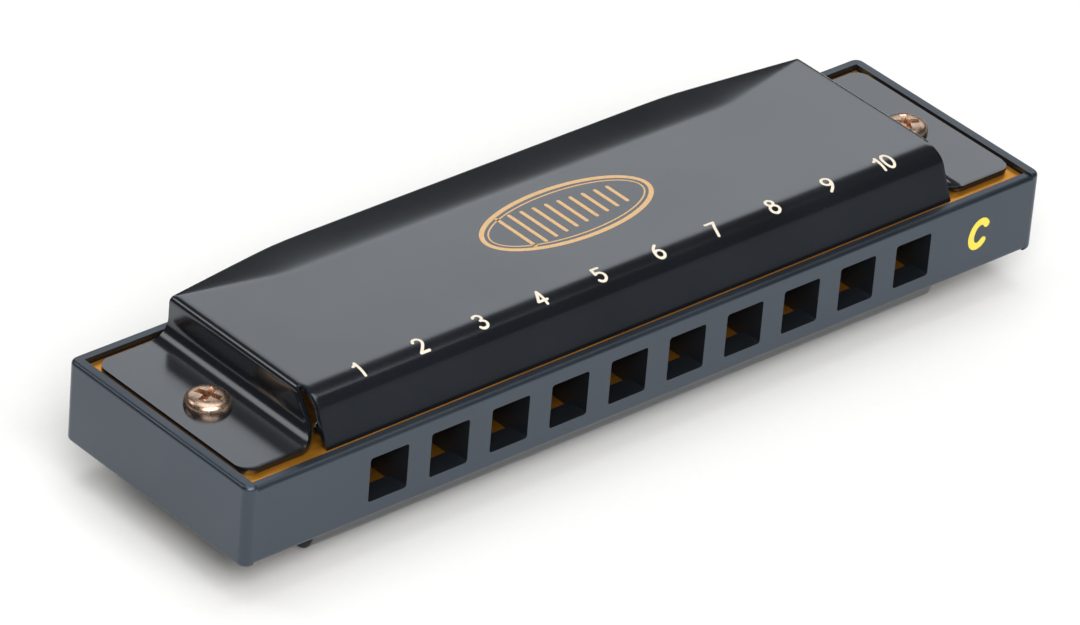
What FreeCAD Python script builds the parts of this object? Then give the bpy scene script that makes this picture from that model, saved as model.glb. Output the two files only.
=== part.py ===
import FreeCAD, Part
import math
import os
import Sketcher

# Ten-hole diatonic harmonica. +X runs from hole 1 to hole 10, +Y from the mouth side to the
# open back, +Z up. The origin is on the lower cover's flat face, below the middle of the comb.
# Every body is drawn about the comb's middle plane and lifted by half the whole height.

HOLES = range(1, 11)
MIDDLE_HOLE = 5.5

SIZES = {
    "comb_length": 102, "comb_width": 27.4, "comb_height": 9, "comb_corner": 1.0,
    "rim_round": 0.45, "lip_drop": 0.2, "lip_round": 0.5,
    "end_rim": 1.2, "back_rim": 1.1, "front_lip": 1.1,
    "hole_pitch": 7.5, "hole_width": 4.7, "hole_height": 4.9, "hole_corner": 0.3,
    "front_wall": 2.5, "pilot_depth": 2.5,
    "plate": 0.9, "plate_gap": 0.15,
    "longest_reed": 17, "shortest_reed": 10, "reed_width": 2.2, "reed_thickness": 0.25,
    "side_gap": 0.08, "root_gap": 0.02, "foot_length": 2.6, "foot_width": 2.8,
    "foot_thickness": 0.4, "blow_tip": 8.4, "draw_root": 7.9, "chamber_spare": 0.5,
    "rivet": 1.0, "rivet_head": 1.8, "rivet_rise": 0.35, "rivet_tail": 0.1,
    "fit_gap": 0.02,
    "cover_top": 8.85, "sheet": 0.6, "cover_half": 40, "flange_end": 49.3,
    "flange_front": 11.2, "flange_back": 11.6, "flange_corner": 1.5,
    "foot_front": 11.97, "shoulder": 9.84, "shoulder_round": 2.2,
    "foot_bend": 2.0, "edge_round": 0.5,
    "roll_start": 12.7, "roll_fall": 0.28, "roll_knee": 14, "roll_end": 14.6,
    "roll_drop": 0.97, "roll_round": 5, "knee_round": 1.8,
    "taper_start": 24, "slit_top": 8.3, "slit_knee": 9.9, "slit_knee_height": 5.7,
    "slit_foot": 10.6,
    "cover_screw_place": 44.9, "cover_screw": 2.2, "cover_screw_head": 4.7,
    "cover_screw_rise": 1.3, "cover_screw_round": 0.9, "cover_screw_reach": 3.9,
    "screw_clearance": 0.1,
    "cross_length": 2.6, "cross_width": 0.6, "cross_depth": 0.7,
    "plate_screw": 1.5, "plate_screw_head": 2.7, "plate_screw_rise": 0.7,
    "plate_screw_reach": 3.2, "end_screw_place": 37.9, "end_screw_front": 9.2,
    "end_screw_back": 10.2, "middle_screw_back": 10.2, "slot_width": 0.4, "slot_depth": 0.3,
}

# Lengths that follow from the driving ones, as formulas of the sheet.
MOUTH = "-dims.comb_width / 2"
BACK = "dims.comb_width / 2"
RIM_TOP = "dims.comb_height / 2"
PLATE_FACE = "(dims.comb_height / 2 - dims.sheet)"
FLOOR = "(dims.comb_height / 2 - dims.sheet - dims.plate)"
COVER_SCREW_HOLE = "(dims.cover_screw + 2 * dims.screw_clearance)"
PLATE_SCREW_HOLE = "(dims.plate_screw + 2 * dims.screw_clearance)"
RIVET_HOLE = "(dims.rivet + 2 * dims.fit_gap)"

document = FreeCAD.newDocument("harmonica")


def make_sheet():
    """The driving dimensions, one row each, in millimetres."""
    sheet = document.addObject("Spreadsheet::Sheet", "dims")
    for row, (alias, size) in enumerate(SIZES.items(), start=1):
        sheet.set(f"A{row}", alias)
        sheet.set(f"B{row}", str(size))
        sheet.setAlias(f"B{row}", alias)
    document.recompute()


def new_body(name, turned=False):
    """An empty body on the comb's middle plane; turned gives the lower twin of an upper piece."""
    body = document.addObject("PartDesign::Body", name)
    body.Label = name
    turn = FreeCAD.Rotation(FreeCAD.Vector(0, 1, 0), 180 if turned else 0)
    body.Placement = FreeCAD.Placement(FreeCAD.Vector(0, 0, SIZES["cover_top"]), turn)
    body.setExpression("Placement.Base.z", "dims.cover_top")
    return body


def new_sketch(body, name, plane, offset="0"):
    """A sketch on one of the body's own origin planes, moved along its normal by a formula."""
    sketch = body.newObject("Sketcher::SketchObject", f"{body.Name}_{name}")
    support = [item for item in body.Origin.OriginFeatures if item.Role == plane]
    sketch.AttachmentSupport = [(support[0], "")]
    sketch.MapMode = "FlatFace"
    sketch.setExpression("AttachmentOffset.Base.z", offset)
    return sketch


def place_point(sketch, geometry, point, across, up, tag):
    """Ties one point of a sketch to the sketch's origin by two formulas."""
    for kind, formula in (("DistanceX", across), ("DistanceY", up)):
        index = sketch.addConstraint(Sketcher.Constraint(kind, -1, 1, geometry, point, 1.0))
        constraint = f"{tag}_{kind}"
        sketch.renameConstraint(index, constraint)
        sketch.setExpression(f"Constraints.{constraint}", formula)


def draw_outline(sketch, points, tag):
    """A closed outline of straight lines through points given as pairs of formulas."""
    first = sketch.GeometryCount
    turn = 2 * math.pi / len(points)
    start = [FreeCAD.Vector(math.cos(turn * i), math.sin(turn * i), 0) for i in range(len(points))]
    for i in range(len(points)):
        sketch.addGeometry(Part.LineSegment(start[i], start[(i + 1) % len(points)]))
    for i in range(len(points)):
        following = first + (i + 1) % len(points)
        sketch.addConstraint(Sketcher.Constraint("Coincident", first + i, 2, following, 1))
    for i, (across, up) in enumerate(points):
        place_point(sketch, first + i, 1, across, up, f"{tag}_{i}")


def round_corner(sketch, lines, radius, tag):
    """Rounds the corner between two lines of a solved outline by a formula, near which it
    starts; the corner point stays tied where it was."""
    before, after = lines
    corner = sketch.Geometry[after].StartPoint
    start = sketch.Geometry[before].value(sketch.Geometry[before].LastParameter)
    if start.distanceToPoint(corner) > 1e-6:
        raise RuntimeError(f"{sketch.Name} lines {lines} don't meet")
    sketch.fillet(before, after, sketch.Geometry[before].StartPoint.add(corner).multiply(0.5),
                  sketch.Geometry[after].EndPoint.add(corner).multiply(0.5), 0.3, True, True)
    arc = max(i for i, item in enumerate(sketch.Geometry) if isinstance(item, Part.ArcOfCircle))
    index = sketch.addConstraint(Sketcher.Constraint("Radius", arc, 0.3))
    sketch.renameConstraint(index, f"{tag}_round")
    sketch.setExpression(f"Constraints.{tag}_round", radius)


def draw_rectangle(sketch, left, right, low, high, tag):
    """A rectangle between four formulas."""
    draw_outline(sketch, [(left, low), (right, low), (right, high), (left, high)], tag)


def draw_circle(sketch, across, up, diameter, tag):
    """A circle whose centre and diameter are formulas."""
    index = sketch.addGeometry(Part.Circle(FreeCAD.Vector(1, 1, 0), FreeCAD.Vector(0, 0, 1), 1))
    size = sketch.addConstraint(Sketcher.Constraint("Diameter", index, 2.0))
    sketch.renameConstraint(size, f"{tag}_size")
    sketch.setExpression(f"Constraints.{tag}_size", diameter)
    place_point(sketch, index, 3, across, up, tag)


def extrude(body, sketch, kind, length, symmetric=False, reverse=False):
    """Pads or pockets a sketch by a formula and checks that it added or removed material."""
    before = body.Shape.Volume if body.Tip else 0.0
    feature = body.newObject(f"PartDesign::{kind}", f"{sketch.Name}_{kind.lower()}")
    feature.Profile = sketch
    feature.SideType = "Symmetric" if symmetric else "One side"
    feature.Reversed = reverse
    feature.setExpression("Length", length)
    document.recompute()
    change = body.Shape.Volume - before
    if (change <= 0) == (kind == "Pad"):
        raise RuntimeError(f"{feature.Name} changed the volume by {change:.3f}")
    return feature


def round_edges(body, name, radius, chosen):
    """Fillets the edges of the body's last feature that a test picks."""
    base = body.Tip
    picked = [f"Edge{i}" for i, edge in enumerate(base.Shape.Edges, start=1) if chosen(edge)]
    if not picked:
        raise RuntimeError(f"{body.Name} has no edge for {name}")
    fillet = body.newObject("PartDesign::Fillet", f"{body.Name}_{name}")
    fillet.Base = (base, picked)
    fillet.setExpression("Radius", radius)
    document.recompute()
    if not fillet.isValid():
        raise RuntimeError(f"{fillet.Name} failed")


def edge_runs(edge, axis):
    """True for a straight edge along one axis, 0 to 2."""
    if len(edge.Vertexes) != 2 or not isinstance(edge.Curve, Part.Line):
        return False
    start, end = (vertex.Point for vertex in edge.Vertexes)
    return all(abs(start[i] - end[i]) < 1e-6 for i in range(3) if i != axis)


def edge_lies(edge, **places):
    """True when the edge's middle has the given distances from the origin planes."""
    box = edge.BoundBox
    middle = {"x": box.Center.x, "y": box.Center.y, "z": box.Center.z}
    return all(abs(abs(middle[axis]) - size) < 0.01 for axis, size in places.items())


def column(hole):
    """Where the middle of a hole lies along the comb."""
    return f"(dims.hole_pitch * {hole - MIDDLE_HOLE})"


def reed_length(hole):
    """Reeds get evenly shorter from the low notes at hole 1 to the high notes at hole 10."""
    step = (hole - 1) / (len(HOLES) - 1)
    return f"(dims.longest_reed - (dims.longest_reed - dims.shortest_reed) * {step})"


def blow_root(hole):
    """Blow reeds point at the mouth, so their roots form a slanting line towards the back."""
    return f"({reed_length(hole)} - dims.blow_tip)"


def plate_screw_places():
    """Two screws near each end of a plate and one in the middle of the back."""
    places = []
    for side in ("-", ""):
        places.append((f"{side}dims.end_screw_place", "-dims.end_screw_front"))
        places.append((f"{side}dims.end_screw_place", "dims.end_screw_back"))
    places.append(("0", "dims.middle_screw_back"))
    return places


def cover_screw_places():
    """One screw in the middle of each end."""
    return [("-dims.cover_screw_place", "0"), ("dims.cover_screw_place", "0")]


def draw_circles(sketch, places, diameter, tag):
    """Equal circles at pairs of formulas."""
    for i, (across, up) in enumerate(places):
        draw_circle(sketch, across, up, diameter, f"{tag}_{i}")


def make_comb():
    """Moulded body: a block with ten chambers, a recess for each plate and ten blow holes."""
    body = new_body("comb")
    block = new_sketch(body, "block", "XY_Plane")
    draw_rectangle(block, "-dims.comb_length / 2", "dims.comb_length / 2", MOUTH, BACK, "side")
    extrude(body, block, "Pad", "dims.comb_height", symmetric=True)
    half_length = SIZES["comb_length"] / 2
    half_width = SIZES["comb_width"] / 2
    half_height = SIZES["comb_height"] / 2
    end = "dims.comb_length / 2 - dims.end_rim"
    round_edges(body, "corners", "dims.comb_corner",
                lambda edge: edge_runs(edge, 2) and edge_lies(edge, x=half_length, y=half_width))
    for name, side in (("upper", ""), ("lower", "-")):
        lip = new_sketch(body, f"{name}_lip", "XY_Plane", f"{side}{RIM_TOP}")
        draw_rectangle(lip, f"-({end})", end, f"{MOUTH} - dims.front_lip",
                       f"{MOUTH} + 2 * dims.front_lip", "side")
        extrude(body, lip, "Pocket", "dims.lip_drop", reverse=side == "-")
    lip_height = half_height - SIZES["lip_drop"]
    round_edges(body, "lip_edges", "dims.lip_round",
                lambda edge: edge_runs(edge, 0) and edge_lies(edge, y=half_width, z=lip_height)
                and edge.BoundBox.Center.y < 0)
    round_edges(body, "rim_edges", "dims.rim_round",
                lambda edge: edge_runs(edge, 1) and edge_lies(edge, x=half_length, z=half_height))
    for name, side in (("upper", ""), ("lower", "-")):
        recess = new_sketch(body, f"{name}_recess", "XY_Plane", f"{side}{RIM_TOP}")
        draw_rectangle(recess, f"-({end})", end, f"{MOUTH} + dims.front_lip",
                       f"{BACK} - dims.back_rim", "side")
        extrude(body, recess, "Pocket", "dims.sheet + dims.plate", reverse=side == "-")
    chambers = new_sketch(body, "chambers", "XY_Plane")
    for hole in HOLES:
        draw_rectangle(chambers, f"{column(hole)} - dims.hole_width / 2",
                       f"{column(hole)} + dims.hole_width / 2", f"{MOUTH} + dims.front_wall",
                       f"{blow_root(hole)} + dims.foot_length + dims.chamber_spare", f"c{hole}")
    extrude(body, chambers, "Pocket", "dims.comb_height", symmetric=True)
    mouths = new_sketch(body, "mouths", "XZ_Plane", BACK)
    for hole in HOLES:
        draw_rectangle(mouths, f"{column(hole)} - dims.hole_width / 2",
                       f"{column(hole)} + dims.hole_width / 2", "-dims.hole_height / 2",
                       "dims.hole_height / 2", f"m{hole}")
    extrude(body, mouths, "Pocket", "dims.front_wall")
    half_hole = SIZES["hole_height"] / 2
    wall_middle = half_width - SIZES["front_wall"] / 2
    round_edges(body, "mouth_corners", "dims.hole_corner",
                lambda edge: edge_runs(edge, 1) and edge_lies(edge, y=wall_middle, z=half_hole))
    for name, side in (("upper", ""), ("lower", "-")):
        pilots = new_sketch(body, f"{name}_pilots", "XY_Plane", f"{side}{FLOOR}")
        draw_circles(pilots, plate_screw_places(), "dims.plate_screw + 2 * dims.fit_gap", "small")
        draw_circles(pilots, cover_screw_places(), "dims.cover_screw + 2 * dims.fit_gap", "large")
        extrude(body, pilots, "Pocket", "dims.pilot_depth", reverse=side == "-")
    return body


def make_plate(name, side, slot_ends, rivet_row):
    """Brass reed plate: a strip with a slot, a rivet hole for each reed and its screw holes."""
    body = new_body(name)
    low = FLOOR if side > 0 else f"-{PLATE_FACE}"
    strip = new_sketch(body, "strip", "XY_Plane", low)
    end = "dims.comb_length / 2 - dims.end_rim - dims.plate_gap"
    draw_rectangle(strip, f"-({end})", end, f"{MOUTH} + dims.front_lip + dims.plate_gap",
                   f"{BACK} - dims.back_rim - dims.plate_gap", "side")
    extrude(body, strip, "Pad", "dims.plate")
    openings = new_sketch(body, "openings", "XY_Plane", low)
    half_slot = "(dims.reed_width / 2 + dims.side_gap)"
    for hole in HOLES:
        front, rear = slot_ends(hole)
        draw_rectangle(openings, f"{column(hole)} - {half_slot}", f"{column(hole)} + {half_slot}",
                       front, rear, f"s{hole}")
        draw_circle(openings, column(hole), rivet_row(hole), RIVET_HOLE, f"r{hole}")
    draw_circles(openings, plate_screw_places(), PLATE_SCREW_HOLE, "small")
    draw_circles(openings, cover_screw_places(), COVER_SCREW_HOLE, "large")
    extrude(body, openings, "Pocket", "dims.plate", reverse=True)
    return body


def blow_slot(hole):
    return "-dims.blow_tip - dims.side_gap", blow_root(hole)


def draw_slot(hole):
    return "-dims.draw_root", f"{reed_length(hole)} - dims.draw_root + dims.side_gap"


def blow_rivet(hole):
    return f"{blow_root(hole)} + dims.foot_length / 2"


def draw_rivet(hole):
    return "-dims.draw_root - dims.foot_length / 2"


def make_strip(name, hole, front, rear, width, low, thickness):
    """A flat brass strip centred on a hole: the tongue of a reed or its foot."""
    body = new_body(name)
    strip = new_sketch(body, "strip", "XY_Plane", low)
    draw_rectangle(strip, f"{column(hole)} - {width} / 2", f"{column(hole)} + {width} / 2",
                   front, rear, "side")
    extrude(body, strip, "Pad", thickness)
    return body


def make_reed(kind, hole):
    """A reed in two solids that meet at its root: the tongue that swings, the riveted foot."""
    if kind == "blow":
        root = blow_root(hole)
        tongue = make_strip(f"blow_reed_{hole}", hole, "-dims.blow_tip",
                            f"{root} - dims.root_gap", "dims.reed_width",
                            f"{FLOOR} - dims.reed_thickness", "dims.reed_thickness")
        foot = make_strip(f"blow_reed_foot_{hole}", hole, root, f"{root} + dims.foot_length",
                          "dims.foot_width", f"{FLOOR} - dims.foot_thickness",
                          "dims.foot_thickness")
        low, rivet_y = f"{FLOOR} - dims.foot_thickness", blow_rivet(hole)
    else:
        tongue = make_strip(f"draw_reed_{hole}", hole, "-dims.draw_root + dims.root_gap",
                            f"{reed_length(hole)} - dims.draw_root", "dims.reed_width",
                            f"-{PLATE_FACE} - dims.reed_thickness", "dims.reed_thickness")
        foot = make_strip(f"draw_reed_foot_{hole}", hole, "-dims.draw_root - dims.foot_length",
                          "-dims.draw_root", "dims.foot_width",
                          f"-{PLATE_FACE} - dims.foot_thickness", "dims.foot_thickness")
        low, rivet_y = f"-{PLATE_FACE} - dims.foot_thickness", draw_rivet(hole)
    bore = new_sketch(foot, "bore", "XY_Plane", low)
    draw_circle(bore, column(hole), rivet_y, RIVET_HOLE, "bore")
    extrude(foot, bore, "Pocket", "dims.foot_thickness", reverse=True)
    return [tongue, foot]


def make_rivets(name, head_low, shank_low, tail_low, row):
    """The ten rivets of one plate: a head on the foot, a shank and a low peened tail."""
    body = new_body(name)
    places = [(column(hole), row(hole)) for hole in HOLES]
    shank = new_sketch(body, "shank", "XY_Plane", shank_low)
    draw_circles(shank, places, "dims.rivet", "shank")
    extrude(body, shank, "Pad", "dims.plate + dims.foot_thickness")
    head = new_sketch(body, "head", "XY_Plane", head_low)
    draw_circles(head, places, "dims.rivet_head", "head")
    extrude(body, head, "Pad", "dims.rivet_rise")
    tail = new_sketch(body, "tail", "XY_Plane", tail_low)
    draw_circles(tail, places, "(dims.rivet + dims.rivet_head) / 2", "tail")
    extrude(body, tail, "Pad", "dims.rivet_tail")
    return body


def inner_corner(before, after):
    """How far across and down, in sheet thicknesses, the inside of a bend lies from its outside,
    when the outside falls at one angle before the bend and at another after it."""
    middle = (before + after) / 2
    spread = math.cos((after - before) / 2)
    return -math.sin(middle) / spread, math.cos(middle) / spread


def make_cover(name, turned):
    """Folded sheet cover: a channel with a sloped front and a rolled back, closed by an end
    wall at each end, where the sheet turns out into a flange that is screwed down."""
    body = new_body(name, turned)
    top = SIZES["cover_top"]
    rim_top = SIZES["comb_height"] / 2
    half = SIZES["cover_half"]
    sheet = SIZES["sheet"]
    channel = new_sketch(body, "channel", "YZ_Plane")
    draw_outline(channel, [("-dims.foot_front", PLATE_FACE),
                           ("-dims.shoulder", "dims.cover_top"),
                           ("dims.roll_start", "dims.cover_top"),
                           ("dims.roll_knee", "dims.cover_top - dims.roll_fall"),
                           ("dims.roll_end", "dims.cover_top - dims.roll_drop"),
                           ("dims.roll_end", PLATE_FACE)], "p")
    extrude(body, channel, "Pad", "2 * dims.cover_half", symmetric=True)
    for bend, place, height in (("shoulder", SIZES["shoulder"], top),
                                ("roll", SIZES["roll_start"], top),
                                ("knee", SIZES["roll_knee"], top - SIZES["roll_fall"])):
        round_edges(body, bend, f"dims.{bend}_round",
                    lambda edge: edge_runs(edge, 0) and edge_lies(edge, y=place, z=height))
    rise = -math.atan2(top - rim_top + sheet, SIZES["foot_front"] - SIZES["shoulder"])
    first_fall = math.atan2(SIZES["roll_fall"], SIZES["roll_knee"] - SIZES["roll_start"])
    second_fall = math.atan2(SIZES["roll_drop"] - SIZES["roll_fall"],
                             SIZES["roll_end"] - SIZES["roll_knee"])
    front_across, front_down = inner_corner(rise, 0)
    start_across, start_down = inner_corner(0, first_fall)
    knee_across, knee_down = inner_corner(first_fall, second_fall)
    run = SIZES["roll_end"] - SIZES["roll_knee"] + sheet * (1 - knee_across)
    end_drop = run * math.tan(second_fall)
    cavity = new_sketch(body, "cavity", "YZ_Plane")
    draw_outline(cavity, [(f"-dims.foot_front + dims.sheet / {-math.sin(rise)}", PLATE_FACE),
                          (f"-dims.shoulder + dims.sheet * {front_across}",
                           f"dims.cover_top - dims.sheet * {front_down}"),
                          (f"dims.roll_start + dims.sheet * {start_across}",
                           f"dims.cover_top - dims.sheet * {start_down}"),
                          (f"dims.roll_knee + dims.sheet * {knee_across}",
                           f"dims.cover_top - dims.roll_fall - dims.sheet * {knee_down}"),
                          ("dims.roll_end + dims.sheet",
                           f"dims.cover_top - dims.roll_fall - dims.sheet * {knee_down}"
                           f" - {end_drop}"),
                          ("dims.roll_end + dims.sheet", PLATE_FACE)], "p")
    extrude(body, cavity, "Pocket", "2 * dims.cover_half", symmetric=True)
    inner_shoulder = SIZES["shoulder"] - sheet * front_across
    round_edges(body, "inner_shoulder", "dims.shoulder_round - dims.sheet",
                lambda edge: edge_runs(edge, 0)
                and edge_lies(edge, y=inner_shoulder, z=top - sheet))
    ends = new_sketch(body, "ends", "XZ_Plane", "-dims.flange_back")
    for side, tag in (("-", "l"), ("", "r")):
        draw_outline(ends, [(f"{side}dims.cover_half", PLATE_FACE),
                            (f"{side}dims.flange_end", PLATE_FACE),
                            (f"{side}dims.flange_end", RIM_TOP),
                            (f"{side}(dims.cover_half + dims.sheet)", RIM_TOP),
                            (f"{side}(dims.cover_half + dims.sheet)", "dims.cover_top"),
                            (f"{side}dims.cover_half", "dims.cover_top")], tag)
    document.recompute()
    for first, tag in ((0, "l"), (6, "r")):
        round_corner(ends, (first + 2, first + 3), "dims.foot_bend", f"{tag}_outer")
        round_corner(ends, (first + 5, first), "dims.foot_bend + dims.sheet", f"{tag}_inner")
        round_corner(ends, (first + 3, first + 4), "dims.edge_round", f"{tag}_top")
    extrude(body, ends, "Pad", "dims.flange_front + dims.flange_back")
    for name, side in (("left_slit", "-"), ("right_slit", "")):
        slit = new_sketch(body, name, "YZ_Plane", f"{side}dims.cover_half")
        draw_outline(slit, [("-dims.slit_top", "dims.cover_top + dims.sheet"),
                            ("-dims.slit_top", "dims.cover_top - dims.sheet"),
                            ("-dims.slit_knee", "dims.slit_knee_height"),
                            ("-dims.slit_foot", RIM_TOP),
                            ("-dims.slit_foot", f"{PLATE_FACE} - dims.sheet"),
                            ("-dims.foot_front", f"{PLATE_FACE} - dims.sheet"),
                            ("-dims.foot_front", "dims.cover_top + dims.sheet")], "p")
        extrude(body, slit, "Pocket", "dims.sheet + dims.foot_bend", reverse=side == "")
    taper = new_sketch(body, "taper", "XY_Plane", "dims.cover_top + dims.sheet")
    for side, tag in (("-", "l"), ("", "r")):
        draw_outline(taper, [(f"{side}dims.cover_half", "dims.flange_back"),
                             (f"{side}dims.taper_start", "dims.roll_end + dims.side_gap"),
                             (f"{side}dims.cover_half", "dims.roll_end + dims.sheet")], tag)
    extrude(body, taper, "Pocket", "dims.cover_top")
    bores = new_sketch(body, "bores", "XY_Plane", RIM_TOP)
    draw_circles(bores, cover_screw_places(), COVER_SCREW_HOLE, "bore")
    extrude(body, bores, "Pocket", "2 * dims.sheet", symmetric=True)
    flange_middle = rim_top - sheet / 2
    round_edges(body, "flange_corners", "dims.flange_corner",
                lambda edge: edge_runs(edge, 2)
                and edge_lies(edge, x=SIZES["flange_end"], z=flange_middle))
    return body


def make_cover_screw(name, side, turned):
    """Pan head screw with a cross recess, through a cover and a plate into the comb."""
    body = new_body(name, turned)
    place = f"{side}dims.cover_screw_place"
    if turned:
        place = f"-({place})"
    shank = new_sketch(body, "shank", "XY_Plane", f"{RIM_TOP} - dims.cover_screw_reach")
    draw_circle(shank, place, "0", "dims.cover_screw", "shank")
    extrude(body, shank, "Pad", "dims.cover_screw_reach")
    head = new_sketch(body, "head", "XY_Plane", RIM_TOP)
    draw_circle(head, place, "0", "dims.cover_screw_head", "head")
    extrude(body, head, "Pad", "dims.cover_screw_rise")
    head_top = SIZES["comb_height"] / 2 + SIZES["cover_screw_rise"]
    round_edges(body, "dome", "dims.cover_screw_round",
                lambda edge: edge_lies(edge, z=head_top))
    cross = new_sketch(body, "cross", "XY_Plane", f"{RIM_TOP} + dims.cover_screw_rise")
    draw_rectangle(cross, f"{place} - dims.cross_length / 2", f"{place} + dims.cross_length / 2",
                   "-dims.cross_width / 2", "dims.cross_width / 2", "long")
    extrude(body, cross, "Pocket", "dims.cross_depth")
    other = new_sketch(body, "other", "XY_Plane", f"{RIM_TOP} + dims.cover_screw_rise")
    draw_rectangle(other, f"{place} - dims.cross_width / 2", f"{place} + dims.cross_width / 2",
                   "-dims.cross_length / 2", "dims.cross_length / 2", "short")
    extrude(body, other, "Pocket", "dims.cross_depth")
    return body


def make_plate_screws(name, turned):
    """The five slotted screws that hold one reed plate to the comb."""
    body = new_body(name, turned)
    shank = new_sketch(body, "shank", "XY_Plane", f"{PLATE_FACE} - dims.plate_screw_reach")
    draw_circles(shank, plate_screw_places(), "dims.plate_screw", "shank")
    extrude(body, shank, "Pad", "dims.plate_screw_reach")
    head = new_sketch(body, "head", "XY_Plane", PLATE_FACE)
    draw_circles(head, plate_screw_places(), "dims.plate_screw_head", "head")
    extrude(body, head, "Pad", "dims.plate_screw_rise")
    slots = new_sketch(body, "slots", "XY_Plane", f"{PLATE_FACE} + dims.plate_screw_rise")
    for i, (across, up) in enumerate(plate_screw_places()):
        draw_rectangle(slots, f"{across} - dims.plate_screw_head", f"{across} + dims.plate_screw_head",
                       f"{up} - dims.slot_width / 2", f"{up} + dims.slot_width / 2", f"t{i}")
    extrude(body, slots, "Pocket", "dims.slot_depth")
    return body


def build():
    """Makes every piece and returns the bodies."""
    make_sheet()
    pieces = [make_comb()]
    pieces.append(make_plate("blow_reed_plate", 1, blow_slot, blow_rivet))
    pieces.append(make_plate("draw_reed_plate", -1, draw_slot, draw_rivet))
    for kind in ("blow", "draw"):
        for hole in HOLES:
            pieces.extend(make_reed(kind, hole))
    foot_low = f"{FLOOR} - dims.foot_thickness"
    pieces.append(make_rivets("blow_reed_rivets", f"{foot_low} - dims.rivet_rise", foot_low,
                              PLATE_FACE, blow_rivet))
    foot_low = f"-{PLATE_FACE} - dims.foot_thickness"
    pieces.append(make_rivets("draw_reed_rivets", f"{foot_low} - dims.rivet_rise", foot_low,
                              f"-{FLOOR}", draw_rivet))
    pieces.append(make_plate_screws("blow_plate_screws", False))
    pieces.append(make_plate_screws("draw_plate_screws", True))
    pieces.append(make_cover("upper_cover", False))
    pieces.append(make_cover("lower_cover", True))
    for level, turned in (("upper", False), ("lower", True)):
        for end, side in (("left", "-"), ("right", "")):
            pieces.append(make_cover_screw(f"{level}_cover_screw_{end}", side, turned))
    return pieces


def check_and_write(pieces):
    """Stops on any failed object or bad shape, then writes one STEP file for each piece."""
    document.recompute()
    failed = [item.Name for item in document.Objects
              if "Invalid" in item.State or "Error" in item.State]
    if failed:
        raise RuntimeError(f"failed objects: {failed}")
    for piece in pieces:
        if piece.Shape.isNull() or not piece.Shape.isValid():
            raise RuntimeError(f"{piece.Label} has a bad shape")
    os.makedirs("parts", exist_ok=True)
    for piece in pieces:
        piece.Shape.exportStep(f"parts/{piece.Label}.step")
        box = piece.Shape.BoundBox
        print(f"{piece.Label}: {len(piece.Shape.Solids)} solids, {piece.Shape.Volume:.2f} mm3, "
              f"x {box.XMin:.2f} {box.XMax:.2f} y {box.YMin:.2f} {box.YMax:.2f} "
              f"z {box.ZMin:.2f} {box.ZMax:.2f}")


check_and_write(build())
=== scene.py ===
"""Ten-hole mouth harmonica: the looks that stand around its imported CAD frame.

Lengths are worked out in millimetres and put into the meshes in metres. Upper pieces are drawn
about the comb's middle plane, and their lower twins are the same shapes turned half a turn
about the comb's length.
"""
import math

import bmesh
import bpy
import numpy as np
from bpy.props import FloatProperty, FloatVectorProperty, IntProperty, PointerProperty
from mathutils import Matrix, Vector
from mathutils.geometry import delaunay_2d_cdt


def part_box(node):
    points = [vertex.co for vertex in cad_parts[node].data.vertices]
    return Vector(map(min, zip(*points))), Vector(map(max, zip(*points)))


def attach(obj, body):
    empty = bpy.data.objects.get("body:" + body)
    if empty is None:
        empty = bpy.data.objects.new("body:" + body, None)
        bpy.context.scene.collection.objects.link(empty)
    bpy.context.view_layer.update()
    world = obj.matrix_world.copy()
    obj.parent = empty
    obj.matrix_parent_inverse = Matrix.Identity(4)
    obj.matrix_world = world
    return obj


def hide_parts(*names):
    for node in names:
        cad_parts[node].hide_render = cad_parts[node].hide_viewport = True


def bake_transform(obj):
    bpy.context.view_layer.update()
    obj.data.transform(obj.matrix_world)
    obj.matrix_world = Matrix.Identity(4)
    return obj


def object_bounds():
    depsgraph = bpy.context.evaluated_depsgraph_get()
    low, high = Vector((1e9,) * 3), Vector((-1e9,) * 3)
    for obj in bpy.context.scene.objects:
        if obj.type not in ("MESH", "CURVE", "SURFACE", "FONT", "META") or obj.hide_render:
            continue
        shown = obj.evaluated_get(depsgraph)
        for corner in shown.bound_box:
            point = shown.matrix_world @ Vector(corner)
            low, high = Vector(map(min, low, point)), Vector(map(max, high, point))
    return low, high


bl_info = {
    "name": "Mouth Harmonica",
    "version": (1, 0, 0),
    "blender": (4, 5, 0),
    "location": "View3D > Sidebar > Harmonica",
    "description": "Builds a ten-hole mouth harmonica around its CAD frame",
    "category": "Object",
}

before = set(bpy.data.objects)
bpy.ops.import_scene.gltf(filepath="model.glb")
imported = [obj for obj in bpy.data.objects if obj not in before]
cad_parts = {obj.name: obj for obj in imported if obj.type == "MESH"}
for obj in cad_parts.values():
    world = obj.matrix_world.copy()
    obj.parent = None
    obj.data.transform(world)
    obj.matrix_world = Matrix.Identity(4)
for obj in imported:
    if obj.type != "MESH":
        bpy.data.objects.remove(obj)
cad_low, cad_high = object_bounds()

MM = 0.001
CASING = "casing"
HOLES = range(1, 11)


def node_box(name):
    """The lowest and highest corners of a CAD node, in millimetres."""
    low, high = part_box(name)
    return np.array(low) / MM, np.array(high) / MM


COMB_LOW, COMB_HIGH = node_box("comb")
MIDDLE = (COMB_LOW[2] + COMB_HIGH[2]) / 2
COVER_LOW, COVER_HIGH = node_box("upper_cover")


def colour(code):
    """An sRGB hex colour as linear light, with full opacity."""
    srgb = np.array([int(code[i:i + 2], 16) for i in (0, 2, 4)]) / 255
    linear = np.where(srgb <= 0.04045, srgb / 12.92, ((srgb + 0.055) / 1.055) ** 2.4)
    return (*linear.tolist(), 1.0)


def shade(label, use, code):
    """A colour property whose default is an sRGB hex colour."""
    return FloatVectorProperty(name=label, description=use, default=colour(code), size=4,
                               min=0, max=1, subtype="COLOR")


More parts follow.
